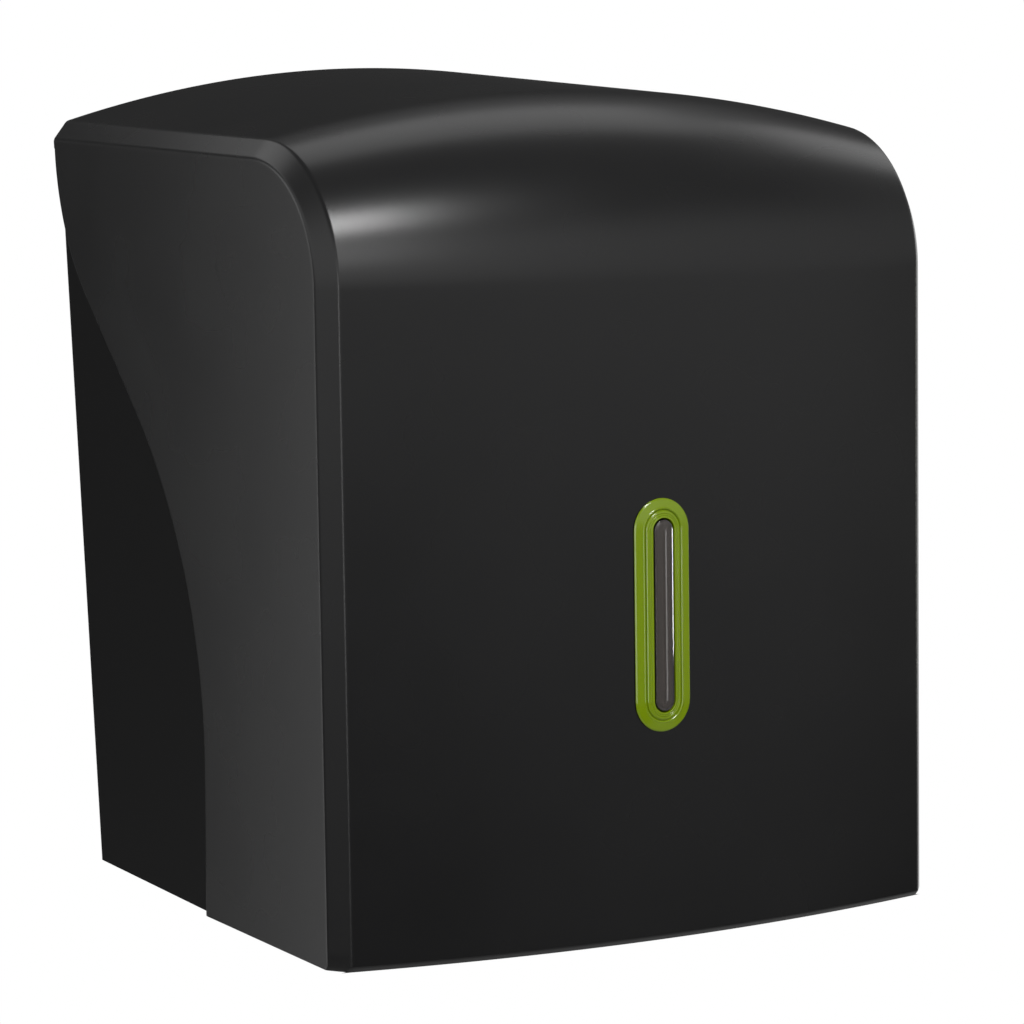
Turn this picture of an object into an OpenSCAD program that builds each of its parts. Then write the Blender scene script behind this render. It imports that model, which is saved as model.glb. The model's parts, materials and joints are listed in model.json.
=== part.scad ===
// Wall-mounted centrefeed roll dispenser: a rear housing that carries the roll, a crowned front cover that
// swings down on two hinge pins, a level window, a key lock on the right side and a twist-in outlet nozzle.
// Millimetres. X to the right, Z up, the wall is the plane y = 0 and the front faces -Y.
// z = 0 is the level of the lower edges of the cover's sides.

/* [Cover] */
// Width of the cover at the wall
cover_w = 259.5; // [245:0.5:285]
// Height of the cover's side edges at the wall
cover_h = 277.1; // [268:0.1:310]
// Depth of the front's side edges at the bottom, from the wall
cover_d = 210; // [200:1:235]
// Rise of the top at its middle, at the wall
top_crown = 18.3; // [12:0.1:24]
// Bulge of the front at its middle
front_crown = 12; // [8:0.5:18]
// Radius between top and front along the side edges
corner_r = 50; // [35:1:60]
// Fall of the top's side edges towards the front, degrees
top_slope = 0.6; // [0.2:0.1:3]
// Extra fall of the top's middle towards the front, degrees
crown_slope = 1.2; // [0:0.1:2]
// Lean of the front, outwards to the bottom, degrees
front_lean = 1.6; // [0.5:0.1:3]
// Draft of the side walls in plan, degrees
side_draft = 2.3; // [0.5:0.05:2.5]
// Width of the bevel band between front and side
band_w = 5.2; // [4:0.1:8]
// Drop of the bevel band from the front's edge to the side's edge
band_drop = 6.7; // [4:0.1:8]
// Wall of the cover
cover_wall = 2.6; // [2.2:0.1:3.2]
// Height of the lip along the front's lower edge
front_lip = 1.9; // [1:0.1:3]
// Depth of the side's lower edge below z = 0 at its rear end
side_low = 0.4; // [0:0.1:0.9]
// Depth of the ribs inside the cover
cover_rib = 4; // [2:0.5:6]
// Thickness of the ribs inside the cover
cover_rib_t = 2; // [1.5:0.1:3]
// Distance of the ribs inside the cover from its middle
cover_rib_x = 75; // [60:1:90]

/* [Side curve] */
// Gap between the cover's rear edge and the wall
curve_back = 1; // [0.5:0.1:3]
// Height at which the cover's rear edge leaves the wall
curve_top = 274; // [262:1:290]
// Radius of the upper bend
curve_upper_r = 85; // [60:1:100]
// Radius of the lower bend
curve_lower_r = 175; // [150:1:190]
// Slant of the stretch between the bends, degrees from upright
curve_angle = 45; // [40:1:50]
// Depth of the lower, upright stretch
curve_front = 115.5; // [108:0.5:122]
// Overlap of the housing's sides behind the curve
curve_overlap = 8; // [4:0.5:10]

/* [Housing] */
// Half width of the housing at its lower edge
house_half_low = 113.7; // [108:0.1:115]
// Half width of the housing above its taper
house_half_high = 125.6; // [118:0.1:126]
// Level of the housing's lower edge at the wall
house_low = -3.4; // [-8:0.1:0]
// Fall of the housing's lower edge over the depth of the side curve
house_fall = 1.5; // [0:0.1:3]
// Level at which the taper of the sides ends
house_taper_top = 245; // [220:1:255]
// Level of the housing's upper edge at its sides
house_top = 268; // [258:1:270]
// Wall of the housing's sides, rim and top
house_wall = 2.5; // [2:0.1:3.5]
// Wall of the back plate
back_wall = 3; // [2.5:0.1:5]
// Level of the roll shelf
shelf_z = 17; // [15:0.5:20]
// Wall of the roll shelf
shelf_wall = 3; // [2.5:0.1:4]
// Level of the rim round the shelf's front
rim_z = 23; // [21:1:45]
// Gap between the shelf's rim and the cover
rim_gap = 2.5; // [2:0.1:4]
// Radius where the rim runs up into the side wall
rim_blend_r = 30; // [15:1:40]
// Standing height of the ribs on the back plate
back_rib = 6; // [3:0.5:8]
// Distance of the back ribs from the middle
back_rib_x = 45; // [30:1:60]

/* [Wall screws] */
// Distance between the screw holes across
screw_x = 150; // [120:1:180]
// Distance between the screw holes in height
screw_z = 140; // [100:1:160]
// Level of the middle of the screw holes
screw_mid_z = 165; // [150:1:175]
// Radius of a screw hole
screw_r = 2.75; // [2:0.05:3.5]
// Radius of the boss round a screw hole
screw_boss_r = 8; // [6:0.5:11]

/* [Hinge] */
// Depth of the hinge axis from the wall
hinge_s = 130; // [126:0.5:140]
// Level of the hinge axis
hinge_z = 10; // [8.5:0.5:12]
// Radius of a hinge pin
hinge_pin_r = 2.5; // [1.5:0.1:3]
// Radius of the bosses round a hinge pin
hinge_boss_r = 7; // [5:0.1:7.5]

/* [Window] */
// Level of the window's middle on the front
window_z = 112; // [95:1:130]
// Height of the window's trim
window_h = 81; // [60:1:110]
// Width of the window's trim
window_w = 22; // [19:0.5:26]
// Width of the trim's sloped flange
window_flange = 4; // [3:0.1:4.5]
// Rise of the trim's flange above the front
flange_rise = 1.4; // [1:0.1:1.6]
// Rise of the trim's inner ring above the front
window_rise = 2.4; // [1.8:0.1:3]
// Half width of the clear opening
window_open_r = 4.2; // [3:0.1:4.6]

/* [Lock] */
// Depth of the lock's axis from the wall
lock_s = 66; // [60:1:80]
// Level of the lock's axis
lock_z = 222; // [212:1:228]
// Radius of the lock's body
lock_body_r = 9; // [8:0.1:10]
// Radius of the lock's barrel
lock_barrel_r = 5.5; // [4.5:0.1:6]
// Length of the lock's body behind the cover's face
lock_len = 18; // [15:0.5:20]
// Reach of the hooked cam from the lock's axis
cam_len = 36; // [33:1:38]

/* [Nozzle] */
// Depth of the nozzle's axis from the wall
nozzle_s = 110; // [105:1:115]
// Radius of the hole in the shelf
nozzle_hole_r = 31; // [26:0.5:36]
// Radius of the outlet at the nozzle's lower end
outlet_r = 12; // [8:0.5:15]
// Level of the nozzle's lower end
outlet_z = -12; // [-14:0.5:-8]
// Wall of the nozzle
nozzle_wall = 2.2; // [1.8:0.1:3]
// Number of teeth round the outlet
outlet_teeth = 12; // [8:1:16]

/* [Fits] */
// Running clearance on a radius
run_gap = 0.06; // [0.02:0.01:0.1]
// Clearance of a piece pushed into its seat, on a radius
seat_gap = 0.03; // [0.01:0.01:0.1]
// Gap between faces that meet
face_gap = 0.1; // [0.05:0.05:0.3]

/* [Hidden] */
$fn = 64;

PLASTIC = "#1b1b1c";
TRIM = "#8aa81c";
CLEAR = "#c9ccd0";
STEEL = "#a9abae";
EPS = 0.01;
FAR = 400;

draft_k = tan(side_draft);
lean_k = tan(front_lean);

// Loft of the cover: steps across the front and round the corner
LOFT_X = 24;
LOFT_ARC = 12;

// Half width of the front's edge at depth s from the wall
function face_half(s) = cover_w / 2 - band_w - draft_k * s;

// Centre of the corner arc of a side profile whose front and top are moved out by f and t and whose top falls
// by the share fall
function corner_centre(f, t, r, fall) =
    let (a = cover_h + t - r * norm([fall, 1]), b = cover_d + f - r * norm([1, lean_k]))
    let (s = (b - lean_k * a) / (1 - lean_k * fall))
    [s, a - fall * s];

// Depth of the front at level z, moved out by f
function front_s(f, z) = cover_d + f - lean_k * z;

// Side profile as (depth, level): up at the wall, over the top and down the front. It starts at the depth
// back and ends at the level low, where the front is drawn in by bevel.
function side_profile(f, t, r, fall, back, low, bevel) =
    let (c = corner_centre(f, t, r, fall), a_top = 90 - atan(fall), a_front = front_lean)
    concat(
        [[back, low], [back, cover_h + t - fall * back]],
        [for (i = [0:LOFT_ARC]) let (a = a_top + (a_front - a_top) * i / LOFT_ARC) c + r * [cos(a), sin(a)]],
        [[front_s(f, low + front_lip), low + front_lip], [front_s(f, low) - bevel, low]]
    );

// Stations across the loft: [share of the face's half width, width beyond it, offset of front, offset of top,
// share of the crown]
function stations(inset) =
    let (mitre = inset * tan(22.5), drop = -band_drop - mitre)
    concat(
        [[-1, inset - band_w, drop, drop, 0]],
        [for (i = [0:LOFT_X]) let (k = 2 * i / LOFT_X - 1, c = 1 - k * k)
            [k, abs(k) == 1 ? -k * mitre : 0, front_crown * c - inset, top_crown * c - inset, c]],
        [[1, band_w - inset, drop, drop, 0]]
    );

// Points of the cover's loft, drawn in on every side by inset: RING points for each of STATIONS stations
function loft_points(inset, back, low, bevel) = [for (q = stations(inset))
    let (fall = tan(top_slope + crown_slope * q[4]), r = corner_r + (q[2] + q[3]) / 2)
    for (p = side_profile(q[2], q[3], r, fall, back, low, bevel))
        [q[0] * face_half(p[0]) + q[1], -p[0], p[1]]];
STATIONS = LOFT_X + 3;
RING = LOFT_ARC + 5;

// Faces of the loft's skin between the ring points first and last + 1, and of its two ends
function loft_skin(first, last) = [for (j = [0:STATIONS - 2], i = [first:last])
    let (a = j * RING + i, b = j * RING + (i + 1) % RING, c = a + RING, d = b + RING)
        each [[a, d, b], [a, c, d]]];
function loft_ends() = [
    [for (i = [0:RING - 1]) i],
    [for (i = [RING - 1:-1:0]) (STATIONS - 1) * RING + i]
];

// Faces turned round and moved on to the points that start at base
function inner(faces, base) = [for (f = faces) [for (i = [len(f) - 1:-1:0]) base + f[i]]];

// Crowned block of the cover, drawn in on every side by inset
module cover_block(inset, back, low) {
    polyhedron(loft_points(inset, back, low, 0), concat(loft_skin(0, RING - 1), loft_ends()));
}

// Crowned shell of the cover, open below and behind, with an even wall
module cover_skin() {
    base = STATIONS * RING;
    end = base - RING;
    foot = RING - 1;
    rim = [for (j = [0:STATIONS - 2]) let (o = j * RING, p = o + RING) each [
        [o + foot, p + foot, base + p + foot, base + o + foot],
        [p + 1, o + 1, base + o + 1, base + p + 1]
    ]];
    side_rims = [
        [0, foot, base + foot, base], [1, 0, base, base + 1],
        [end + foot, end, base + end, base + end + foot], [end, end + 1, base + end + 1, base + end]
    ];
    faces = concat(loft_skin(1, RING - 2), loft_ends());
    polyhedron(
        concat(loft_points(0, 0, -front_lip, front_lip), loft_points(cover_wall, 0, -front_lip, 0)),
        concat(faces, inner(faces, base), rim, side_rims)
    );
}

// Points on an arc from angle a to angle b
function arc(c, r, a, b, n = 20) = [for (i = [0:n]) let (t = a + (b - a) * i / n) c + r * [cos(t), sin(t)]];

// Rear edge of the cover's side, from above the top down to below the bottom, moved forwards by shift.
// Two bends joined by a slanted stretch.
function curve_points(shift) =
    let (rise = 1 - cos(curve_angle), run = curve_front - curve_back - (curve_upper_r + curve_lower_r) * rise)
    let (mid_z = curve_top - (curve_upper_r + curve_lower_r) * sin(curve_angle) - run / tan(curve_angle))
    concat(
        [[curve_back + shift, FAR]],
        arc([curve_back + shift + curve_upper_r, curve_top], curve_upper_r, 180, 180 + curve_angle),
        arc([curve_front + shift - curve_lower_r, mid_z], curve_lower_r, curve_angle, 0),
        [[curve_front + shift, -FAR]]
    );

// Outline of everything behind the side curve, as (depth, level)
module behind_curve(shift) {
    polygon(concat(curve_points(shift), [[-FAR, -FAR], [-FAR, FAR]]));
}

// Extrudes an outline given as (depth, level) along X
module along_x(w) {
    rotate([90, 0, 90]) linear_extrude(w, center = true) mirror([1, 0]) children();
}

// Extrudes an outline given as (x, z) from one depth to another
module along_y(from, to) {
    translate([0, -from, 0]) rotate([90, 0, 0]) linear_extrude(to - from) children();
}

// Places a piece on the front's middle at the window's level, its Z pointing out of the front
module at_window() {
    translate([0, -front_s(front_crown, window_z), window_z]) rotate([90 - front_lean, 0, 0]) children();
}

// Places a piece on the right side wall at the lock, its Z pointing out and its Y towards the wall
module at_lock() {
    translate([cover_w / 2 - draft_k * lock_s, -lock_s, lock_z])
        rotate([0, 0, -side_draft]) rotate([0, 90, 0]) children();
}

// Sweeps an outline given as (distance from the slot's middle line, height) round a slot with round ends
module round_slot(straight) {
    for (turn = [0, 180]) rotate([0, 0, turn]) translate([0, straight / 2, 0]) {
        rotate_extrude(angle = 180) children();
        rotate([90, 0, 0]) linear_extrude(straight) children();
    }
}

// Solid slot with round ends
module slot_block(r, straight, low, high) {
    round_slot(straight) translate([0, low]) square([r, high - low]);
}

// Cylinder along X on the hinge axis, on one side
module hinge_rod(side, r, from, to) {
    translate([side * from, -hinge_s, hinge_z]) rotate([0, side * 90, 0]) cylinder(r = r, h = to - from);
}

// Height of the cover ribs' lower ends above the hinge, so that they swing clear of the shelf's rim
rib_lift = max(26, rim_z - hinge_z + cover_rib);

// Fall of the side's lower edge, down to the lip at the bevel band
side_k = (front_lip - side_low) / (cover_d - band_drop - cover_wall - curve_front);

// Sizes of the housing that follow from the cover and the shelf
shelf_front = front_s(front_crown, rim_z) - cover_wall - rim_gap;
crown_half = face_half(cover_d);
plan_r = (crown_half * crown_half + front_crown * front_crown) / (2 * front_crown);
top_arch_r = (house_half_high * house_half_high + top_crown * top_crown) / (2 * top_crown);
house_floor = house_low - house_fall;
front_floor = -front_lip / 2;
taper_k = (house_half_high - house_half_low) / (house_taper_top - house_low);
function house_half(z) = house_half_low + taper_k * (min(z, house_taper_top) - house_low);

// Ribs, rings and bosses of the housing
rib_t = 2.2;
shelf_rib = 7;
ring_radii = [52, 84];
ring_w = 2;
ring_h = 1.5;
screw_boss_h = 2;

// Hinge stack along X: housing boss, gap, cover boss, blind end in the cover's side wall
hinge_boss_in = 6;
hinge_ear = 3.6;
hinge_gap = 0.4;
hinge_blind = 2;
hinge_end_gap = 0.5;
hinge_head_h = 1.8;
hinge_head_r = hinge_pin_r + 1.2;
cover_in_x = cover_w / 2 - draft_k * hinge_s - cover_wall;
hinge_ear_x = house_half(hinge_z) + hinge_ear;
hinge_pin_x = house_half(hinge_z) - house_wall - hinge_boss_in;
hinge_end_x = cover_in_x + cover_wall - hinge_blind;

// Window stack, as heights above the front
window_straight = window_h - window_w;
trim_r = window_w / 2;
trim_step_r = trim_r - window_flange;
trim_edge = 0.5;
trim_round = 0.4;
groove_half = 0.2;
groove_depth = 0.3;
ring_round = 0.3;
sleeve_r = trim_step_r - face_gap;
sleeve_wall = 1.2;
sleeve_low = -cover_wall - 3.2;
lens_r = sleeve_r - sleeve_wall - seat_gap;
lens_face_r = window_open_r - seat_gap;
lens_top = 0.2;
lens_edge = window_rise - 0.5;
lens_rise = window_rise + 0.4;
lens_wall = 1.4;
lens_skirt = 1;
retainer_r = sleeve_r + 3;
retainer_floor = 1.3;
retainer_edge = 0.5;

// Lock stack, as heights above the side wall's outer face
lock_flange_r = lock_body_r + 2.5;
lock_flange_h = 1.8;
lock_edge = 0.5;
washer_h = 0.6;
washer_reach = 3;
nut_h = 4;
nut_r = lock_body_r + 4;
key_slot = [7, 1.6, 6];
tail_r = 3;
tail_gap = 0.4;
cam_t = 2.5;
cam_w = 13;
cam_hook = 14;
cam_hook_w = 7;
cam_high = -lock_len - 2 * tail_gap;
cam_screw_r = 1.5;
cam_screw_len = 7;
cam_head_r = 4.5;
cam_head_h = 2.4;
keeper_gap = 0.8;
keeper_t = 4;
keeper_h = 26;
keeper_reach = 3;

// Nozzle stack, as levels
nozzle_r = nozzle_hole_r - run_gap;
nozzle_flange_r = nozzle_hole_r + 6;
nozzle_flange_h = 2.4;
nozzle_edge = 1;
socket_h = 8;
socket_wall = 3.5;
lug_h = 2.2;
lug_reach = 2.6;
lug_span = 30;
lug_count = 3;
lug_low = shelf_z - shelf_wall - socket_h - face_gap - lug_h;
lug_rest = 60;
notch_play = 3;
notch_gap = 0.6;
tooth_r = 0.84 * PI * outlet_r / outlet_teeth;
tooth_sink = 0.4;
FUNNEL_STEPS = 8;
FLARE = 0.55;
// Share of the funnel's height at which its outside meets the inside of the skirt
skirt_q = (nozzle_r - 2 * nozzle_wall - outlet_r) / (nozzle_r - nozzle_wall - outlet_r);
skirt_u = (sqrt(pow(1 - FLARE, 2) + 4 * FLARE * skirt_q) - 1 + FLARE) / (2 * FLARE);

// Outline of the housing seen from the front, drawn in by inset, from the level low up to the level high
module housing_outline(inset, low, high) {
    polygon([
        [-house_half(low) + inset, low], [house_half(low) - inset, low],
        [house_half(high) - inset, min(high, house_taper_top)], [house_half(high) - inset, high],
        [-house_half(high) + inset, high], [-house_half(high) + inset, min(high, house_taper_top)]
    ]);
}

// The housing's whole outline, with an upper edge that is crowned like the cover's top
module housing_face(inset, low) {
    intersection() {
        housing_outline(inset, low, house_top + top_crown);
        translate([0, house_top + top_crown - top_arch_r]) circle(r = top_arch_r - inset, $fn = 180);
    }
}

// Outline of the housing's side wall: behind the side curve, and a rim that runs forwards along the shelf.
// The lower edge falls along the side and rises again to hide behind the cover's lip.
module housing_side() {
    difference() {
        union() {
            behind_curve(curve_overlap);
            translate([0, -FAR]) square([FAR, FAR + rim_z + rim_blend_r]);
        }
        translate([curve_front + curve_overlap + rim_blend_r, rim_z + rim_blend_r]) circle(r = rim_blend_r);
        translate([curve_front + curve_overlap + rim_blend_r, rim_z]) square([FAR, FAR]);
        polygon([
            [-FAR, house_low], [0, house_low], [curve_front, house_floor],
            [curve_front + curve_overlap, house_floor], [hinge_s + hinge_boss_r + rim_blend_r, front_floor],
            [FAR, front_floor], [FAR, -2 * FAR], [-FAR, -2 * FAR]
        ]);
    }
}

// Crowned front edge of the shelf in plan, drawn in by inset
module shelf_plan(inset) {
    translate([0, plan_r - shelf_front, -FAR / 2]) cylinder(r = plan_r - inset, h = FAR * 2, $fn = 180);
}

module at_screws() {
    for (x = [-1, 1], z = [-1, 1]) translate([x * screw_x / 2, 0, screw_mid_z + z * screw_z / 2]) children();
}

// Side walls, top lip and front rim round an open middle
module housing_walls() {
    difference() {
        intersection() {
            along_y(0, shelf_front) housing_face(0, house_floor - 1);
            along_x(2 * cover_w) housing_side();
            shelf_plan(0);
        }
        intersection() {
            along_y(back_wall, FAR) housing_face(house_wall, house_floor - 2);
            shelf_plan(house_wall);
        }
    }
}

// Roll shelf with two low rings that the roll slides on
module roll_shelf() {
    intersection() {
        along_y(EPS, shelf_front) housing_outline(house_wall / 2, shelf_z - shelf_wall, shelf_z);
        shelf_plan(house_wall / 2);
    }
    for (r = ring_radii) translate([0, -nozzle_s, shelf_z - EPS])
        rotate_extrude() translate([r, 0]) square([ring_w, ring_h]);
}

// Stiffening ribs under the shelf, from the nozzle's socket out to the walls
module shelf_ribs() {
    intersection() {
        translate([0, -nozzle_s, shelf_z - shelf_wall - shelf_rib]) for (a = [30:60:330]) rotate([0, 0, a])
            translate([nozzle_hole_r + 1, -rib_t / 2, 0]) cube([FAR, rib_t, shelf_rib + EPS]);
        along_y(EPS, shelf_front) housing_outline(house_wall / 2, house_low, shelf_z);
        shelf_plan(house_wall / 2);
    }
}

// Ribs on the back plate that stand the roll off the screw heads
module back_ribs() {
    along_y(back_wall - EPS, back_wall + back_rib) intersection() {
        housing_face(house_wall / 2, shelf_z - EPS);
        union() {
            for (x = [-1, 1]) translate([x * back_rib_x - rib_t / 2, 0]) square([rib_t, FAR]);
            for (z = [-1, 1]) translate([-back_rib_x, screw_mid_z + z * screw_z / 2 - rib_t / 2])
                square([2 * back_rib_x, rib_t]);
        }
    }
}

// Rib on the right side wall that the lock's cam hooks behind
module cam_keeper() {
    s_rear = lock_s - (cam_len - cam_hook_w) + keeper_gap;
    top = lock_z - cam_w / 2 - keeper_gap;
    x_in = cover_w / 2 - draft_k * lock_s + cam_high - cam_t - keeper_reach;
    intersection() {
        translate([x_in, -s_rear - keeper_t, top - keeper_h]) cube([FAR, keeper_t, keeper_h]);
        along_y(EPS, FAR) housing_outline(house_wall / 2, house_low, house_top);
    }
}

module rear_housing() color(PLASTIC) {
    difference() {
        union() {
            housing_walls();
            roll_shelf();
            shelf_ribs();
            back_ribs();
            cam_keeper();
            at_screws() rotate([90, 0, 0]) cylinder(r = screw_boss_r, h = back_wall + screw_boss_h);
            for (side = [-1, 1]) hinge_rod(side, hinge_boss_r, hinge_pin_x, hinge_ear_x);
            translate([0, -nozzle_s, shelf_z - shelf_wall - socket_h])
                cylinder(r = nozzle_hole_r + socket_wall, h = socket_h + EPS);
        }
        at_screws() rotate([90, 0, 0]) translate([0, 0, -1])
            cylinder(r = screw_r, h = back_wall + screw_boss_h + 2);
        for (side = [-1, 1]) hinge_rod(side, hinge_pin_r + seat_gap, hinge_pin_x - 1, hinge_ear_x + 1);
        translate([0, -nozzle_s, -FAR / 2]) cylinder(r = nozzle_hole_r, h = FAR);
        // Notches that let the nozzle's lugs through the socket
        for (i = [0:lug_count - 1]) translate([0, -nozzle_s, shelf_z - shelf_wall - socket_h - 1])
            rotate([0, 0, i * 360 / lug_count - lug_span / 2 - notch_play])
                rotate_extrude(angle = lug_span + 2 * notch_play)
                    square([nozzle_r + lug_reach + notch_gap, FAR / 2]);
    }
}

// Headed pin through the housing's boss into the cover's boss
module hinge_pin(side) color(STEEL) {
    hinge_rod(side, hinge_pin_r, hinge_pin_x - hinge_head_h, hinge_end_x - hinge_end_gap);
    hinge_rod(side, hinge_head_r, hinge_pin_x - hinge_head_h - face_gap, hinge_pin_x - face_gap);
}

module hinge_pin_left() hinge_pin(-1);

module hinge_pin_right() hinge_pin(1);

// Shell of the cover with its ribs, before the openings are cut
module cover_shell() {
    cover_skin();
    intersection() {
        difference() {
            cover_block(cover_wall / 2, 0, 0);
            cover_block(cover_wall + cover_rib, -1, -1);
        }
        for (x = [-1, 1]) translate([x * cover_rib_x - cover_rib_t / 2, -FAR, hinge_z + rib_lift])
            cube([cover_rib_t, FAR - curve_back - curve_overlap - cover_rib, FAR]);
    }
}

module front_cover() color(PLASTIC) difference() {
    union() {
        difference() {
            cover_shell();
            along_x(2 * cover_w) behind_curve(0);
            // The sides rise rearwards from the level of the front's lip
            along_x(2 * cover_w) polygon([
                [-FAR, -side_low], [curve_front, -side_low], [FAR, -side_low - side_k * (FAR - curve_front)],
                [FAR, -FAR], [-FAR, -FAR]
            ]);
        }
        for (side = [-1, 1]) hinge_rod(side, hinge_boss_r, hinge_ear_x + hinge_gap, cover_in_x + 1);
    }
    for (side = [-1, 1]) hinge_rod(side, hinge_pin_r + run_gap, hinge_ear_x - 1, hinge_end_x);
    at_window() slot_block(sleeve_r + face_gap, window_straight, -20, 20);
    at_lock() translate([0, 0, -cover_wall - 5]) cylinder(r = lock_body_r + face_gap, h = cover_wall + 10);
}

// Bezel with a sloped flange on the front, a fine groove, a sloped inner ring and a sleeve through the cover
module window_trim() color(TRIM) at_window() round_slot(window_straight) polygon([
    [trim_r, face_gap], [trim_r, trim_edge], [trim_r - trim_round, trim_edge + ring_round],
    [trim_step_r + groove_half, flange_rise], [trim_step_r, flange_rise - groove_depth],
    [trim_step_r - groove_half, flange_rise], [window_open_r + ring_round, window_rise],
    [window_open_r, window_rise - ring_round], [window_open_r, lens_top + seat_gap],
    [sleeve_r - sleeve_wall, lens_top + seat_gap], [sleeve_r - sleeve_wall, sleeve_low],
    [sleeve_r, sleeve_low], [sleeve_r, face_gap]
]);

// Clear cup: a domed face in the opening and a skirt inside the trim's sleeve
module window_lens() color(CLEAR, 0.4) at_window() {
    dome = lens_rise - lens_edge;
    dome_r = (lens_face_r * lens_face_r + dome * dome) / (2 * dome);
    round_slot(window_straight) polygon(concat(
        arc([0, lens_rise - dome_r], dome_r, 90, 90 - asin(lens_face_r / dome_r), 6),
        [[lens_face_r, lens_top], [lens_r, lens_top], [lens_r, sleeve_low], [lens_r - lens_skirt, sleeve_low],
        [lens_r - lens_skirt, lens_top - lens_wall], [lens_face_r - lens_wall, lens_top - lens_wall],
        [lens_face_r - lens_wall, lens_edge - lens_wall], [0, lens_edge - lens_wall]]
    ));
}

// Frame pushed over the sleeve from inside, which clamps the trim to the cover and holds the lens
module window_retainer() color(PLASTIC) at_window() {
    seat = sleeve_low - face_gap;
    low = seat - retainer_floor;
    top = -cover_wall - 2 * face_gap;
    round_slot(window_straight) polygon([
        [sleeve_r + seat_gap, top], [retainer_r, top], [retainer_r, low + retainer_edge],
        [retainer_r - retainer_edge, low], [window_open_r, low], [window_open_r, seat],
        [sleeve_r + seat_gap, seat]
    ]);
}

// Flanged sleeve through the cover's side wall
module lock_body() color(STEEL) at_lock() difference() {
    rotate_extrude() polygon([
        [0, -lock_len], [lock_body_r, -lock_len], [lock_body_r, face_gap], [lock_flange_r, face_gap],
        [lock_flange_r, lock_flange_h - lock_edge], [lock_flange_r - lock_edge, lock_flange_h],
        [0, lock_flange_h]
    ]);
    translate([0, 0, -lock_len - 1]) cylinder(r = lock_barrel_r + run_gap, h = lock_len + lock_flange_h + 2);
}

// Ring on the lock's body, from depth on inwards
module lock_ring(r, depth, h, sides) {
    at_lock() translate([0, 0, -depth - h]) difference() {
        cylinder(r = r, h = h, $fn = sides);
        translate([0, 0, -1]) cylinder(r = lock_body_r + seat_gap, h = h + 2);
    }
}

module lock_washer() color(STEEL) lock_ring(lock_body_r + washer_reach, cover_wall + face_gap, washer_h, $fn);

module lock_nut() color(STEEL) lock_ring(nut_r, cover_wall + 2 * face_gap + washer_h, nut_h, 6);

// Rotor with a key slot in its face and a thinner tail for the cam
module lock_barrel() color(STEEL) at_lock() difference() {
    rotate_extrude() polygon([
        [0, cam_high - cam_t], [tail_r, cam_high - cam_t], [tail_r, -lock_len - tail_gap],
        [lock_barrel_r, -lock_len - tail_gap], [lock_barrel_r, lock_flange_h - lock_edge],
        [lock_barrel_r - lock_edge, lock_flange_h], [0, lock_flange_h]
    ]);
    translate([-key_slot[0] / 2, -key_slot[1] / 2, lock_flange_h - key_slot[2]]) cube(key_slot + [0, 0, 1]);
    translate([0, 0, cam_high - cam_t - 1]) cylinder(r = cam_screw_r + seat_gap, h = cam_screw_len + 2);
}

// Hooked tongue on the barrel's tail, shown unlocked: it points up and turns rearwards to lock
module lock_cam() color(STEEL) at_lock() translate([0, 0, cam_high - cam_t]) rotate([0, 0, 90]) difference() {
    linear_extrude(cam_t) {
        circle(r = cam_w / 2);
        translate([-cam_w / 2, 0]) square([cam_w, cam_len]);
        translate([-cam_w / 2, cam_len - cam_hook_w]) square([cam_w / 2 + cam_hook, cam_hook_w]);
    }
    translate([0, 0, -1]) cylinder(r = tail_r + seat_gap, h = cam_t + 2);
}

module cam_screw() color(STEEL) at_lock() translate([0, 0, cam_high - cam_t - face_gap]) {
    translate([0, 0, -cam_head_h]) cylinder(r = cam_head_r, h = cam_head_h);
    translate([0, 0, -EPS]) cylinder(r = cam_screw_r, h = cam_screw_len);
}

// Point of the nozzle's funnel, moved out by extra, at the share u of the way from the outlet up to the shelf
function funnel(u, extra) = [
    outlet_r + extra + (nozzle_r - nozzle_wall - outlet_r) * ((1 - FLARE) * u + FLARE * u * u),
    outlet_z + (shelf_z - outlet_z) * u
];

// Funnel that drops into the shelf from above, with lugs that turn under the socket and teeth at its mouth
module nozzle_insert() color(PLASTIC) translate([0, -nozzle_s, 0]) difference() {
    union() {
        // Inside of the funnel, flange, skirt, then the outside of the funnel
        rotate_extrude() polygon(concat(
            [for (i = [0:FUNNEL_STEPS]) funnel(i / FUNNEL_STEPS, 0)],
            [
                [nozzle_r, shelf_z + nozzle_flange_h],
                [nozzle_flange_r - nozzle_edge, shelf_z + nozzle_flange_h],
                [nozzle_flange_r, shelf_z + nozzle_flange_h - nozzle_edge],
                [nozzle_flange_r, shelf_z + face_gap], [nozzle_r, shelf_z + face_gap],
                [nozzle_r, lug_low], [nozzle_r - nozzle_wall, lug_low]
            ],
            [for (i = [FUNNEL_STEPS:-1:0]) funnel(skirt_u * i / FUNNEL_STEPS, nozzle_wall)]
        ));
        for (i = [0:lug_count - 1]) translate([0, 0, lug_low])
            rotate([0, 0, lug_rest + i * 360 / lug_count - lug_span / 2]) rotate_extrude(angle = lug_span)
                translate([nozzle_r - 1, 0]) square([lug_reach + 1, lug_h]);
    }
    // Notches that leave pointed teeth round the outlet
    for (i = [0:outlet_teeth - 1]) rotate([0, 0, i * 360 / outlet_teeth])
        translate([0, 0, outlet_z - tooth_sink]) rotate([0, 90, 0])
            cylinder(r = tooth_r, h = outlet_r + 2 * nozzle_wall, $fn = 4);
}

rear_housing();
hinge_pin_left();
hinge_pin_right();
front_cover();
window_trim();
window_lens();
window_retainer();
lock_body();
lock_washer();
lock_nut();
lock_barrel();
lock_cam();
cam_screw();
nozzle_insert();
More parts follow.
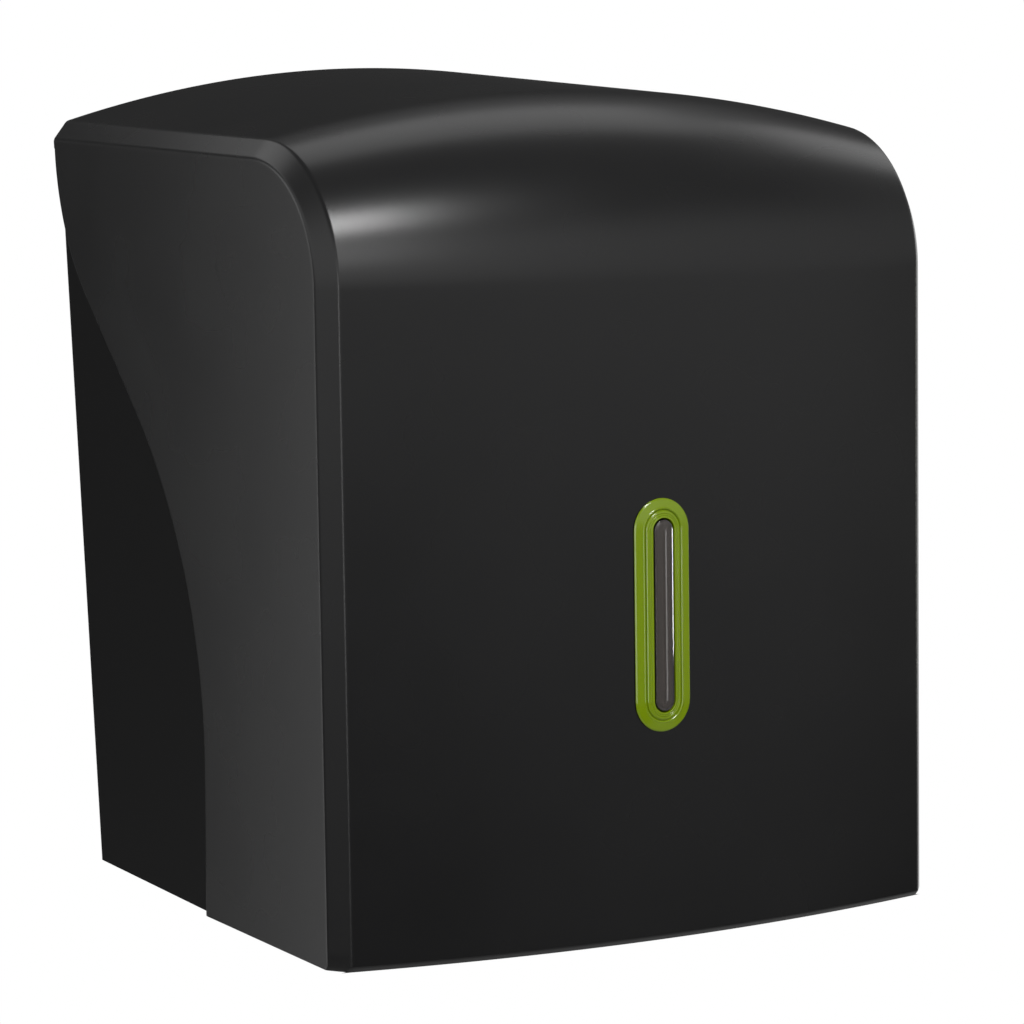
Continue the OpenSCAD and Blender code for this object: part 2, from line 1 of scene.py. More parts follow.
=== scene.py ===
"""Looks of a wall-mounted centrefeed roll dispenser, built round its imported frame.

Sizes are in millimetres and in the frame's axes: X to the right, Z up, the wall at y = 0 and the front
towards -Y. A depth is the distance from the wall. Sizes become metres where a mesh is placed.
"""

import json
import logging
import math
from dataclasses import astuple, dataclass
from enum import Enum

import bmesh
import bpy
from mathutils import Matrix, Vector


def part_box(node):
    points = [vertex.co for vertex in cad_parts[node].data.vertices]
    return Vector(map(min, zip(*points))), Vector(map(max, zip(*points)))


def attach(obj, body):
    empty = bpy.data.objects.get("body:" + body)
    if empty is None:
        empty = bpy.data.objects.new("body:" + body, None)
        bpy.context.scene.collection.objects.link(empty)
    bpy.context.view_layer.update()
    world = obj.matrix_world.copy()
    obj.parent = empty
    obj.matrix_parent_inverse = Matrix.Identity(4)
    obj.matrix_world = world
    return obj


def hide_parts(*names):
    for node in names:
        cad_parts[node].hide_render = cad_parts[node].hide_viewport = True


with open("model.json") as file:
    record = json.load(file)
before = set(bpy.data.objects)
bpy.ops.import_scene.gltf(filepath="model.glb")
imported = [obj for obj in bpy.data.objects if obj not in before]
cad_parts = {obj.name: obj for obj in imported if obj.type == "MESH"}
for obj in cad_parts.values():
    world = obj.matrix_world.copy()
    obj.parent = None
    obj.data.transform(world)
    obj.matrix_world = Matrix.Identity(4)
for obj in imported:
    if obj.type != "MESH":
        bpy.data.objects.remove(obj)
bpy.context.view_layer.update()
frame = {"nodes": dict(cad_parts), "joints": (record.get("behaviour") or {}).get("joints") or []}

MM = 0.001
LOG = logging.getLogger("dispenser")
# Attribute of the lens: 1 on its steep outer edge, where shade is painted dark into its colour, 0 elsewhere
PAINTED_SHADE_ATTRIBUTE = "rim"

Point = tuple[float, float]
Colour = tuple[float, float, float]


class Body(Enum):
    """Bodies of the frame that a piece can ride on."""

    HOUSING = "housing"
    COVER = "cover"
    LOCK = "lock"
    NOZZLE = "nozzle"


class Slot(Enum):
    """Material slots of the record."""

    COVER = "cover_plastic"
    HOUSING = "housing_plastic"
    TRIM = "trim_plastic"
    LENS = "lens_clear"
    LOCK = "lock_metal"
    STEEL = "pin_steel"


class Tree:
    """A node tree with short ways to add and link nodes."""

    def __init__(self, tree: bpy.types.NodeTree) -> None:
        """Wraps the node tree."""
        self.tree = tree

    def add(self, kind: str, inputs: dict | None = None, **properties: object) -> bpy.types.Node:
        """Adds a node.

        Args:
            kind: the node's type without its ShaderNode prefix, or a full type name.
            inputs: values of its input sockets, by name or index.
            properties: the node's own settings.

        Returns:
            The new node.
        """
        node = self.tree.nodes.new(kind if kind.startswith("Node") else "ShaderNode" + kind)
        for name, value in properties.items():
            setattr(node, name, value)
        for socket, value in (inputs or {}).items():
            node.inputs[socket].default_value = value
        return node

    def link(self, source: bpy.types.NodeSocket, target: bpy.types.NodeSocket) -> None:
        """Links an output socket to an input socket."""
        self.tree.links.new(source, target)

    def math(self, operation: str, a: object, b: object, clamp: bool = False) -> bpy.types.NodeSocket:
        """Adds a Math node.

        Args:
            operation: the Math node's operation.
            a: first input, a socket or a number.
            b: second input, a socket or a number.
            clamp: whether the result stays between 0 and 1.

        Returns:
            The result's socket.
        """
        node = self.add("Math", operation=operation, use_clamp=clamp)
        for socket, value in zip(node.inputs, (a, b)):
            if isinstance(value, bpy.types.NodeSocket):
                self.link(value, socket)
            else:
                socket.default_value = value
        return node.outputs[0]

    def mix(self, factor: bpy.types.NodeSocket, a: object, b: object) -> bpy.types.NodeSocket:
        """Adds a Mix node for colours.

        Args:
            factor: the share of the second colour.
            a: first colour, a socket or three numbers.
            b: second colour, a socket or three numbers.

        Returns:
            The mixed colour's socket.
        """
        node = self.add("Mix", data_type="RGBA")
        self.link(factor, node.inputs["Factor"])
        for name, value in (("A", a), ("B", b)):
            if isinstance(value, bpy.types.NodeSocket):
                self.link(value, node.inputs[name])
            else:
                node.inputs[name].default_value = (*value, 1.0)
        return node.outputs["Result"]


def grain_group() -> bpy.types.NodeTree:
    """Returns the shared node group of a moulded surface: its fine grain, its tone and its changing gloss."""
    name = "moulded_grain"
    if name in bpy.data.node_groups:
        return bpy.data.node_groups[name]
    group = bpy.data.node_groups.new(name, "ShaderNodeTree")
    for socket in ("Cells", "Roughness", "Spread"):
        group.interface.new_socket(socket, in_out="INPUT", socket_type="NodeSocketFloat")
    for socket in ("Height", "Tone", "Roughness"):
        group.interface.new_socket(socket, in_out="OUTPUT", socket_type="NodeSocketFloat")
    tree = Tree(group)
    inlet = tree.add("NodeGroupInput")
    outlet = tree.add("NodeGroupOutput")
    place = tree.add("TexCoord")
    fine = tree.add("TexNoise", {"Detail": 3.0, "Roughness": 0.6})
    cloud = tree.add("TexNoise", {"Scale": 22.0, "Detail": 2.0, "Roughness": 0.5})
    tree.link(place.outputs["Object"], fine.inputs["Vector"])
    tree.link(place.outputs["Object"], cloud.inputs["Vector"])
    tree.link(inlet.outputs["Cells"], fine.inputs["Scale"])
    swing = tree.math("SUBTRACT", cloud.outputs["Fac"], 0.5)
    change = tree.math("MULTIPLY", swing, inlet.outputs["Spread"])
    tree.link(fine.outputs["Fac"], outlet.inputs["Height"])
    tree.link(tree.math("MULTIPLY", fine.outputs["Fac"], cloud.outputs["Fac"]), outlet.inputs["Tone"])
    tree.link(tree.math("ADD", inlet.outputs["Roughness"], change, clamp=True), outlet.inputs["Roughness"])
    return group


def placed_grain(tree: Tree, cells: float, roughness: float, spread: float) -> bpy.types.Node:
    """Places the moulded surface's group in a material.

    Args:
        tree: the material's node tree.
        cells: how fine the grain is.
        roughness: the mean roughness.
        spread: how far the roughness changes.

    Returns:
        The group's node.
    """
    values = {"Cells": cells, "Roughness": roughness, "Spread": spread}
    return tree.add("Group", values, node_tree=grain_group())


def new_material(name: str) -> tuple[bpy.types.Material, Tree, bpy.types.Node]:
    """Makes a node material.

    Args:
        name: the material's name.

    Returns:
        The material, its node tree and its Principled shader.
    """
    material = bpy.data.materials.new(name)
    material.use_nodes = True
    return material, Tree(material.node_tree), material.node_tree.nodes["Principled BSDF"]


@dataclass(frozen=True)
class Moulding:
    """Finish of moulded plastic."""

    name: str
    colour: Colour
    bloom: Colour
    roughness: float
    spread: float
    specular: float
    cells: float
    relief: float
    coat: float = 0.0
    coat_roughness: float = 0.06

    def material(self) -> bpy.types.Material:
        """Returns the finish's material, made on first use."""
        if self.name in bpy.data.materials:
            return bpy.data.materials[self.name]
        material, tree, shader = new_material(self.name)
        grain = placed_grain(tree, self.cells, self.roughness, self.spread)
        tone = tree.mix(grain.outputs["Tone"], self.colour, self.bloom)
        bump = tree.add("Bump", {"Distance": self.relief * MM})
        tree.link(grain.outputs["Height"], bump.inputs["Height"])
        tree.link(tone, shader.inputs["Base Color"])
        tree.link(grain.outputs["Roughness"], shader.inputs["Roughness"])
        tree.link(bump.outputs["Normal"], shader.inputs["Normal"])
        shader.inputs["Specular IOR Level"].default_value = self.specular
        shader.inputs["Coat Weight"].default_value = self.coat
        shader.inputs["Coat Roughness"].default_value = self.coat_roughness
        return material


@dataclass(frozen=True)
class ClearPlastic:
    """Finish of a clear moulded lens, with shade painted dark into the colour of its edge."""

    name: str
    colour: Colour
    # Colour of the shade painted on the lens's steep outer edge
    rim: Colour
    roughness: float
    ior: float
    clearness: float
    cells: float = 900.0

    def material(self) -> bpy.types.Material:
        """Returns the finish's material, made on first use."""
        if self.name in bpy.data.materials:
            return bpy.data.materials[self.name]
        material, tree, shader = new_material(self.name)
        grain = placed_grain(tree, self.cells, self.roughness, self.roughness)
        tree.link(grain.outputs["Roughness"], shader.inputs["Roughness"])
        # Painted shade: the attribute turns the lens's steep edge dark in its colour
        edge = tree.add("Attribute", attribute_name=PAINTED_SHADE_ATTRIBUTE).outputs["Fac"]
        tree.link(tree.mix(edge, self.colour, self.rim), shader.inputs["Base Color"])
        shader.inputs["IOR"].default_value = self.ior
        shader.inputs["Transmission Weight"].default_value = self.clearness
        return material


@dataclass(frozen=True)
class PlatedMetal:
    """Finish of plated metal, with fine turning lines."""

    name: str
    colour: Colour
    dull: Colour
    roughness: float
    stretch: tuple[float, float, float]
    swing: float = 0.2
    relief: float = 0.01

    def material(self) -> bpy.types.Material:
        """Returns the finish's material, made on first use."""
        if self.name in bpy.data.materials:
            return bpy.data.materials[self.name]
        material, tree, shader = new_material(self.name)
        place = tree.add("TexCoord")
        turn = tree.add("Mapping", {"Scale": self.stretch})
        lines = tree.add("TexNoise", {"Scale": 1.0, "Detail": 4.0})
        tree.link(place.outputs["Object"], turn.inputs["Vector"])
        tree.link(turn.outputs["Vector"], lines.inputs["Vector"])
        tree.link(tree.mix(lines.outputs["Fac"], self.colour, self.dull), shader.inputs["Base Color"])
        swing = tree.math("MULTIPLY", lines.outputs["Fac"], self.swing)
        tree.link(tree.math("ADD", swing, self.roughness - self.swing / 2), shader.inputs["Roughness"])
        bump = tree.add("Bump", {"Distance": self.relief * MM, "Strength": 0.4})
        tree.link(lines.outputs["Fac"], bump.inputs["Height"])
        tree.link(bump.outputs["Normal"], shader.inputs["Normal"])
        shader.inputs["Metallic"].default_value = 1.0
        return material


SATIN_BLACK = Moulding("satin_black", (0.0052, 0.0052, 0.0055), (0.0085, 0.0085, 0.009), 0.27, 0.05, 0.5,
                       3500.0, 0.0025)
MATT_BLACK = Moulding("matt_black", (0.0045, 0.0045, 0.0046), (0.0075, 0.0075, 0.0078), 0.5, 0.06, 0.1,
                      2600.0, 0.02)
LIME_GREEN = Moulding("lime_green", (0.195, 0.295, 0.0003), (0.235, 0.345, 0.001), 0.16, 0.05, 0.5,
                      2500.0, 0.003, coat=0.1)
# The lens's second colour is painted shade for its steep outer edge
CLEAR_LENS = ClearPlastic("clear_lens", (0.34, 0.3, 0.275), (0.004, 0.004, 0.004), 0.03, 1.5, 0.85)
PLATED_ZINC = PlatedMetal("plated_zinc", (0.62, 0.62, 0.63), (0.5, 0.5, 0.51), 0.26, (300.0, 2500.0, 2500.0))
PIN_STEEL = PlatedMetal("pin_steel", (0.52, 0.52, 0.53), (0.4, 0.4, 0.41), 0.34, (1800.0, 300.0, 300.0))


@dataclass(frozen=True)
class Piece:
    """What a finished mesh is called, what it stands for and how it looks."""

    name: str
    nodes: tuple[str, ...]
    body: Body
    slot: Slot
    finish: Moulding | ClearPlastic | PlatedMetal

    def add(self, bm: bmesh.types.BMesh) -> bpy.types.Object:
        """Turns a bmesh into this piece.

        Args:
            bm: the shape, in metres and in place. It is freed.

        Returns:
            The new object, which rides on its body and replaces its nodes.
        """
        mesh = bpy.data.meshes.new(self.name)
        bm.to_mesh(mesh)
        bm.free()
        obj = bpy.data.objects.new(self.name, mesh)
        bpy.context.scene.collection.objects.link(obj)
        obj.data.materials.append(self.finish.material())
        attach(obj, self.body.value)
        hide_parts(*self.nodes)
        LOG.info("%s: %d faces on %s", self.name, len(mesh.polygons), self.body.value)
        return obj


def smooth(obj: bpy.types.Object, angle: float = 32.0) -> None:
    """Shades an object smooth, with sharp edges past an angle in degrees and flat faces kept flat."""
    obj.data.shade_smooth()
    obj.data.set_sharp_from_angle(angle=math.radians(angle))
    even = obj.modifiers.new("even_shading", "WEIGHTED_NORMAL")
    even.weight = 80
    even.keep_sharp = True


def carve(obj: bpy.types.Object, cutter: bmesh.types.BMesh) -> None:
    """Cuts a closed shape out of an object's mesh for good.

    Args:
        obj: the object, without modifiers.
        cutter: the shape to take away, in metres. It is freed.
    """
    mesh = bpy.data.meshes.new("cutter")
    cutter.to_mesh(mesh)
    cutter.free()
    tool = bpy.data.objects.new("cutter", mesh)
    bpy.context.scene.collection.objects.link(tool)
    cut = obj.modifiers.new("cut", "BOOLEAN")
    cut.operation = "DIFFERENCE"
    cut.solver = "EXACT"
    cut.object = tool
    graph = bpy.context.evaluated_depsgraph_get()
    made = bpy.data.meshes.new_from_object(obj.evaluated_get(graph))
    obj.modifiers.clear()
    old, obj.data = obj.data, made
    made.name = obj.name
    bpy.data.meshes.remove(old)
    bpy.data.objects.remove(tool)
    bpy.data.meshes.remove(mesh)


def chain(bm: bmesh.types.BMesh, points: list[Vector], closed: bool = False) -> list[bmesh.types.BMEdge]:
    """Draws a chain of edges.

    Args:
        bm: where it is drawn.
        points: its corners in order.
        closed: whether the last point joins the first.

    Returns:
        The edges in order.
    """
    verts = [bm.verts.new(p) for p in points]
    pairs = list(zip(verts, verts[1:])) + ([(verts[-1], verts[0])] if closed else [])
    return [bm.edges.new(pair) for pair in pairs]


def rounded(points: list[Point], radius: float, steps: int = 4, most: float = 0.45) -> list[Point]:
    """Rounds the corners of a closed outline.

    Args:
        points: the outline's corners.
        radius: the radius at each corner, less where its sides are too short.
        steps: segments in each rounding.
        most: largest share of a side that a rounding takes.

    Returns:
        The rounded outline.
    """
    count = len(points)
    made: list[Point] = []
    for i, corner in enumerate(points):
        here = Vector(corner)
        before = Vector(points[i - 1]) - here
        after = Vector(points[(i + 1) % count]) - here
        half = before.angle(after) / 2
        reach = min(radius / math.tan(half), before.length * most, after.length * most)
        start = here + before.normalized() * reach
        end = here + after.normalized() * reach
        for k in range(steps + 1):
            u = k / steps
            made.append(tuple((1 - u) ** 2 * start + 2 * u * (1 - u) * here + u * u * end))
    return made


def slot_sweep(outline: list[Point], straight: float, closed: bool = True,
               steps: int = 28) -> bmesh.types.BMesh:
    """Sweeps an outline round a slot with round ends.

    Args:
        outline: points as (distance from the slot's middle line, height), in millimetres.
        straight: length of the slot's straight stretches, in millimetres.
        closed: whether the outline closes on itself.
        steps: segments in each round end.

    Returns:
        The swept shape in metres, round the Z axis and along Y.
    """
    bm = bmesh.new()
    half = straight * MM / 2
    edges = chain(bm, [Vector((d * MM, -half, h * MM)) for d, h in outline], closed)
    for turn in (1, -1):
        pulled = bmesh.ops.extrude_edge_only(bm, edges=edges)["geom"]
        verts = [g for g in pulled if isinstance(g, bmesh.types.BMVert)]
        edges = [g for g in pulled if isinstance(g, bmesh.types.BMEdge) and set(g.verts) <= set(verts)]
        bmesh.ops.translate(bm, verts=verts, vec=(0, 2 * half * turn, 0))
        spun = bmesh.ops.spin(bm, geom=verts + edges, cent=(0, half * turn, 0), axis=(0, 0, 1), angle=math.pi,
                              steps=steps, dvec=(0, 0, 0))["geom_last"]
        edges = [g for g in spun if isinstance(g, bmesh.types.BMEdge)]
    bmesh.ops.remove_doubles(bm, verts=bm.verts, dist=1e-7)
    bmesh.ops.recalc_face_normals(bm, faces=bm.faces)
    return bm


@dataclass(frozen=True)
class CoverForm:
    """Crowned form of the cover, as formulas over its driving sizes."""

    width: float = 259.49
    height: float = 277.1
    depth: float = 210.0
    top_crown: float = 18.3
    front_crown: float = 12.0
    corner_r: float = 50.0
    edge_fall: float = math.radians(0.6)
    crown_fall: float = math.radians(1.2)
    lean: float = math.tan(math.radians(1.6))
    draft: float = math.tan(math.radians(2.3))
    band: float = 5.2
    drop: float = 6.7
    wall: float = 2.6
    lip: float = 1.9
    side_low: float = 0.4
    back: float = 1.0
    curve_top: float = 274.0
    curve_upper_r: float = 85.0
    curve_lower_r: float = 175.0
    curve_angle: float = math.radians(45.0)
    curve_front: float = 115.5
    curve_clear: float = 3.0

    def face_half(self, s: float) -> float:
        """Returns half the width of the crowned face at a depth."""
        return self.width / 2 - self.band - self.draft * s

    def front(self, f: float, z: float) -> float:
        """Returns the depth of the front at a level, moved out by f."""
        return self.depth + f - self.lean * z

    def crown(self, k: float, inset: float) -> "Station":
        """Returns the crown's station at a share of its half width, drawn in from the outside by inset."""
        share = 1 - k * k
        return Station(k, 0.0, self.front_crown * share - inset, self.top_crown * share - inset, share)

    def profile(self, at: "Station", rows: "Rows", bevel: float) -> list[Vector]:
        """Works out a side profile from the wall over the top and down the front.

        Args:
            at: where the profile lies across the cover.
            rows: how many rows each stretch has.
            bevel: how far the lower end of the lip is drawn in.

        Returns:
            The points as depth and level.
        """
        r = self.corner_r + (at.front + at.top) / 2
        slope = self.edge_fall + self.crown_fall * at.share
        k = math.tan(slope)
        a = self.height + at.top - r * math.hypot(k, 1)
        b = self.depth + at.front - r * math.hypot(1, self.lean)
        s = (b - self.lean * a) / (1 - self.lean * k)
        centre = Vector((s, a - k * s))
        high, low = math.pi / 2 - slope, math.atan(self.lean)
        arc = []
        for i in range(rows.corner + 1):
            turn = high + (low - high) * i / rows.corner
            arc.append(centre + r * Vector((math.cos(turn), math.sin(turn))))
        start = Vector((self.back, self.height + at.top - k * self.back))
        foot = Vector((self.front(at.front, 0), 0.0))
        lead = [start.lerp(arc[0], i / rows.top) for i in range(rows.top)]
        fall = [arc[-1].lerp(foot, i / rows.front) for i in range(1, rows.front + 1)]
        return lead + arc + fall + [Vector((self.front(at.front, -self.lip) - bevel, -self.lip))]

    def side_curve(self, steps: int) -> list[Point]:
        """Returns the rear edge of the side from its foot up to just under the top, as depth and level."""
        rise = 1 - math.cos(self.curve_angle)
        bends = self.curve_upper_r + self.curve_lower_r
        run = self.curve_front - self.back - bends * rise
        mid = self.curve_top - bends * math.sin(self.curve_angle) - run / math.tan(self.curve_angle)
        lower = [(self.curve_front - self.curve_lower_r * (1 - math.cos(a)),
                  mid + self.curve_lower_r * math.sin(a))
                 for a in (self.curve_angle * i / steps for i in range(steps + 1))]
        upper = [(self.back + self.curve_upper_r * (1 - math.cos(a)),
                  self.curve_top - self.curve_upper_r * math.sin(a))
                 for a in (self.curve_angle * (1 - i / steps) for i in range(steps))]
        top = self.height - self.drop - self.curve_clear
        return [(self.curve_front, -self.side_low)] + [p for p in lower + upper if p[1] < top]


@dataclass(frozen=True)
class Station:
    """Place across the cover.

    It holds the share of the face's half width, the width beyond that, how far front and top are moved out
    there, and the share of the crown.
    """

    k: float
    shift: float
    front: float
    top: float
    share: float

    def blend(self, other: "Station", u: float) -> "Station":
        """Returns the station at the share u of the way to another."""
        pairs = zip(astuple(self), astuple(other))
        return Station(*(a + (b - a) * u for a, b in pairs))

    def bend(self, start: "Station", end: "Station", steps: int) -> "list[Station]":
        """Returns the rounding at this station from start to end, both included."""
        shares = [i / steps for i in range(steps + 1)]
        return [start.blend(self, u).blend(self.blend(end, u), u) for u in shares]


@dataclass(frozen=True)
class Rows:
    """Rows of a grid along the cover's side profile."""

    top: int = 30
    corner: int = 40
    front: int = 44


def placed_grid(bm: bmesh.types.BMesh, columns: list[list[Vector]]) -> list[list[bmesh.types.BMVert]]:
    """Lays a grid of faces over columns of points.

    Args:
        bm: where the grid is made.
        columns: the points, column by column, in metres.

    Returns:
        The grid's vertices, column by column.
    """
    wide, high = len(columns) - 1, len(columns[0]) - 1
    made = bmesh.ops.create_grid(bm, x_segments=wide, y_segments=high, size=1.0)["verts"]
    verts: list[list] = [[None] * (high + 1) for _ in columns]
    for v in made:
        i, j = round((v.co.x + 1) / 2 * wide), round((v.co.y + 1) / 2 * high)
        verts[i][j] = v
    for i, column in enumerate(columns):
        for j, point in enumerate(column):
            verts[i][j].co = point
    return verts


@dataclass(frozen=True)
class Cover:
    """Front cover: a crowned shell with bevel bands, ribs and hinge bosses."""

    form: CoverForm = CoverForm()
    rows: Rows = Rows()
    crown_columns: int = 96
    curve_steps: int = 28
    crease: float = 1.0
    crease_steps: int = 6
    edge: float = 0.45
    edge_steps: int = 3
    rim_angle: float = math.radians(40)
    rim_clear: float = 0.5
    cut_reach: float = 20.0
    round_steps: int = 64
    rib_x: float = 75.0
    rib_t: float = 2.0
    rib_h: float = 4.0
    rib_foot: float = 36.0
    rib_back: float = 13.0
    rib_sink: float = 0.3
    boss_r: float = 7.0
    boss_bore: float = 2.56
    boss_from: float = 118.35
    boss_to: float = 122.9
    boss_edge: float = 0.4
    boss_steps: int = 48
    slot_r: float = 7.0
    lock_r: float = 9.1

    def stations(self, inset: float, crease: float) -> list[Station]:
        """Lists the grid's columns across the cover.

        Args:
            inset: how far the sheet is drawn in from the outside.
            crease: reach of the roundings along both sides of each band.

        Returns:
            The columns from left to right.
        """
        form = self.form
        mitre = inset * math.tan(math.pi / 8)
        drop = -form.drop - mitre
        share = crease / math.hypot(form.band, form.drop)
        inside = 1 - crease / form.face_half(form.depth / 2)
        count = self.crown_columns
        crown = [form.crown(inside * (2 * i / count - 1), inset) for i in range(1, count)]
        made: dict[int, list[Station]] = {}
        for side in (-1, 1):
            wall = Station(side, side * (form.band - inset), drop - crease, drop - crease, 0.0)
            outer = Station(side, wall.shift, drop, drop, 0.0)
            inner = Station(side, -side * mitre, -inset, -inset, 0.0)
            made[side] = (outer.bend(wall, outer.blend(inner, share), self.crease_steps)
                          + inner.bend(inner.blend(outer, share), form.crown(side * inside, inset),
                                       self.crease_steps))
        return made[-1] + crown + made[1][::-1]

    def sheet(self, bm: bmesh.types.BMesh, inset: float, bevel: float, crease: float) -> None:
        """Makes one face of the shell: crown, bands and side walls.

        Args:
            bm: where it is made.
            inset: how far it is drawn in from the outside.
            bevel: how far the lip's lower end is drawn in.
            crease: reach of the roundings along both sides of each band.
        """
        form = self.form
        points = [[Vector((at.k * form.face_half(p.x) + at.shift, -p.x, p.y)) * MM
                   for p in form.profile(at, self.rows, bevel)]
                  for at in self.stations(inset, crease)]
        verts = placed_grid(bm, points)
        for sign, column in ((-1, verts[0]), (1, verts[-1])):
            rear = [Vector((sign * (form.face_half(s) + form.band - inset), -s, z)) * MM
                    for s, z in form.side_curve(self.curve_steps)]
            edges = chain(bm, rear)
            ends = (edges[0].verts[0], edges[-1].verts[1])
            edges.append(bm.edges.new((column[-1], ends[0])))
            edges.append(bm.edges.new((ends[1], column[0])))
            edges += [bm.edges.get(pair) for pair in zip(column, column[1:])]
            wall = bmesh.ops.contextual_create(bm, geom=edges)["faces"]
            # A narrow border keeps the shading of the flat wall even
            bmesh.ops.inset_individual(bm, faces=wall, thickness=2 * self.edge * MM, use_even_offset=True)

    def shell(self) -> bmesh.types.BMesh:
        """Returns the whole moulding's shell with its edges rounded, before any opening is cut."""
        bm = bmesh.new()
        self.sheet(bm, 0.0, self.form.lip, self.crease)
        self.sheet(bm, self.form.wall, 0.0, self.crease / 3)
        bmesh.ops.bridge_loops(bm, edges=[e for e in bm.edges if e.is_boundary])
        bmesh.ops.recalc_face_normals(bm, faces=bm.faces)
        back = -(self.form.back + self.rim_clear) * MM
        rim = [e for e in bm.edges if e.is_manifold and e.calc_face_angle() > self.rim_angle
               and min(v.co.y for v in e.verts) < back]
        bmesh.ops.bevel(bm, geom=rim, offset=self.edge * MM, offset_type="OFFSET", affect="EDGES",
                        segments=self.edge_steps, profile=0.5, material=-1, clamp_overlap=False)
        return bm

    def rib(self, side: int) -> bmesh.types.BMesh:
        """Returns a stiffening rib on the inside of the crown, on one side."""
        form = self.form
        bm = bmesh.new()
        columns = []
        for inset in (form.wall - self.rib_sink, form.wall + self.rib_h):
            column = []
            guess = form.profile(form.crown(self.rib_x / form.face_half(form.depth), 0.0), self.rows, 0.0)
            for i, p in enumerate(guess):
                q = form.profile(form.crown(self.rib_x / form.face_half(p.x), inset), self.rows, 0.0)[i]
                if q.x >= self.rib_back and q.y >= self.rib_foot:
                    column.append(Vector((side * self.rib_x - self.rib_t / 2, -q.x, q.y)) * MM)
            columns.append(column)
        least = min(map(len, columns))
        placed_grid(bm, [column[-least:] for column in columns])
        pulled = bmesh.ops.extrude_face_region(bm, geom=bm.faces[:])["geom"]
        verts = [g for g in pulled if isinstance(g, bmesh.types.BMVert)]
        bmesh.ops.translate(bm, verts=verts, vec=(self.rib_t * MM, 0, 0))
        bmesh.ops.recalc_face_normals(bm, faces=bm.faces)
        return bm

    def boss(self, side: int, hinge: Vector) -> bmesh.types.BMesh:
        """Makes the hinge boss on the inside of a side wall.

        Args:
            side: -1 for the left wall, 1 for the right.
            hinge: a point on the hinge's axis, in metres.

        Returns:
            The boss, in metres and in place.
        """
        bm = bmesh.new()
        outline = rounded([(self.boss_bore, self.boss_from), (self.boss_r, self.boss_from),
                           (self.boss_r, self.boss_to), (self.boss_bore, self.boss_to)], self.boss_edge)
        edges = chain(bm, [Vector((side * x * MM, hinge.y, hinge.z + r * MM)) for r, x in outline], True)
        verts = list(dict.fromkeys(v for e in edges for v in e.verts))
        bmesh.ops.spin(bm, geom=verts + edges, cent=hinge, axis=(1, 0, 0), angle=2 * math.pi,
                       steps=self.boss_steps, dvec=(0, 0, 0), use_merge=True)
        bmesh.ops.recalc_face_normals(bm, faces=bm.faces)
        return bm

    def build(self, hinge: Vector, window: Matrix, straight: float, lock: Matrix) -> None:
        """Builds and dresses the cover.

        Args:
            hinge: a point on the hinge's axis, in metres.
            window: the window's place.
            straight: length of the window's straight stretches.
            lock: the lock's place.
        """
        obj = Piece("cover_shell", ("front_cover",), Body.COVER, Slot.COVER, SATIN_BLACK).add(self.shell())
        reach = self.cut_reach
        opening = slot_sweep([(0, -reach), (self.slot_r, -reach), (self.slot_r, reach), (0, reach)],
                             straight, False)
        bmesh.ops.transform(opening, matrix=window, verts=opening.verts)
        carve(obj, opening)
        bore = bmesh.new()
        bmesh.ops.create_cone(bore, cap_ends=True, segments=self.round_steps, radius1=self.lock_r * MM,
                              radius2=self.lock_r * MM, depth=reach * MM)
        bmesh.ops.transform(bore, matrix=lock, verts=bore.verts)
        carve(obj, bore)
        bm = bmesh.new()
        bm.from_mesh(obj.data)
        for side in (-1, 1):
            for extra in (self.rib(side), self.boss(side, hinge)):
                mesh = bpy.data.meshes.new("extra")
                extra.to_mesh(mesh)
                extra.free()
                bm.from_mesh(mesh)
                bpy.data.meshes.remove(mesh)
        bm.to_mesh(obj.data)
        bm.free()
        smooth(obj)


